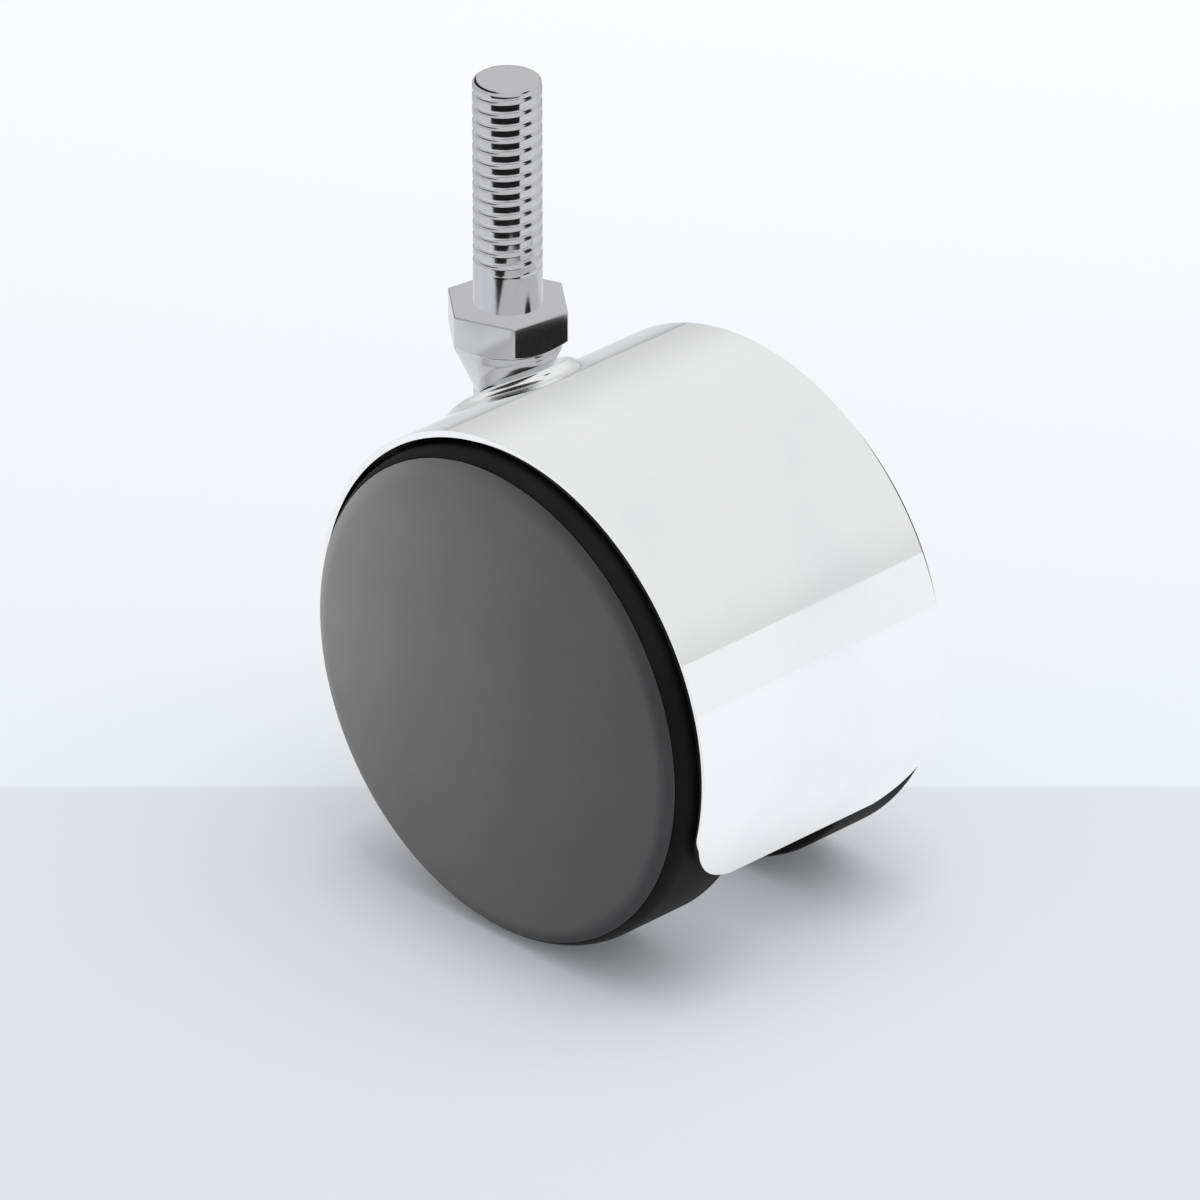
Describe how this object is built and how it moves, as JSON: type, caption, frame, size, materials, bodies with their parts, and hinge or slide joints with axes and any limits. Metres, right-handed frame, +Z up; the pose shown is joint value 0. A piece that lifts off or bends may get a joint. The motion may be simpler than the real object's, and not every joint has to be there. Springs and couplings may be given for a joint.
{
  "type": "twin wheel castor",
  "caption": "Twin wheel swivel castor with a bright chromed hood over dark plastic wheels, a hexagon and a threaded stem for furniture legs.",
  "frame": {"origin": "on the swivel axis, at the seat face on top of the stem's hexagon", "axes": "+Z up the stem, +X back along the trail from the swivel axis to the axle, Y along the axle"},
  "size_m": [0.0628, 0.044, 0.094],
  "materials": {
    "chrome_hood": "bright chrome plate on a smooth shell",
    "plated_stem": "bright plated steel, turned and thread-rolled",
    "core_plastic": "dark moulded plastic, fine grain",
    "wheel_plastic": "dark grey moulded plastic, satin",
    "cover_plastic": "grey moulded plastic, fine matte grain",
    "bearing_plastic": "natural bearing plastic",
    "ground_steel": "ground bright steel",
    "spring_steel": "dark oiled spring steel"
  },
  "bodies": {
    "stem": {"threaded_stem": "plated_stem", "stem_snap_ring": "spring_steel"},
    "housing": {"hood": "chrome_hood", "horn": "core_plastic", "stem_sleeve": "bearing_plastic", "thrust_ball": "ground_steel", "axle": "ground_steel", "left_thrust_washer": "ground_steel", "right_thrust_washer": "ground_steel", "left_axle_clip": "spring_steel", "right_axle_clip": "spring_steel"},
    "left_wheel_set": {"left_wheel": "wheel_plastic", "left_wheel_bush": "bearing_plastic", "left_wheel_cover": "cover_plastic"},
    "right_wheel_set": {"right_wheel": "wheel_plastic", "right_wheel_bush": "bearing_plastic", "right_wheel_cover": "cover_plastic"}
  },
  "joints": [
    {"name": "swivel", "type": "hinge", "parent": "stem", "child": "housing", "pos_m": [0, 0, 0], "axis": [0, 0, 1], "continuous": true},
    {"name": "left_wheel_spin", "type": "hinge", "parent": "housing", "child": "left_wheel_set", "pos_m": [0.02, -0.0156, -0.03597], "axis": [0, 1, 0], "continuous": true},
    {"name": "right_wheel_spin", "type": "hinge", "parent": "housing", "child": "right_wheel_set", "pos_m": [0.02, 0.0156, -0.03597], "axis": [0, 1, 0], "continuous": true}
  ]
}
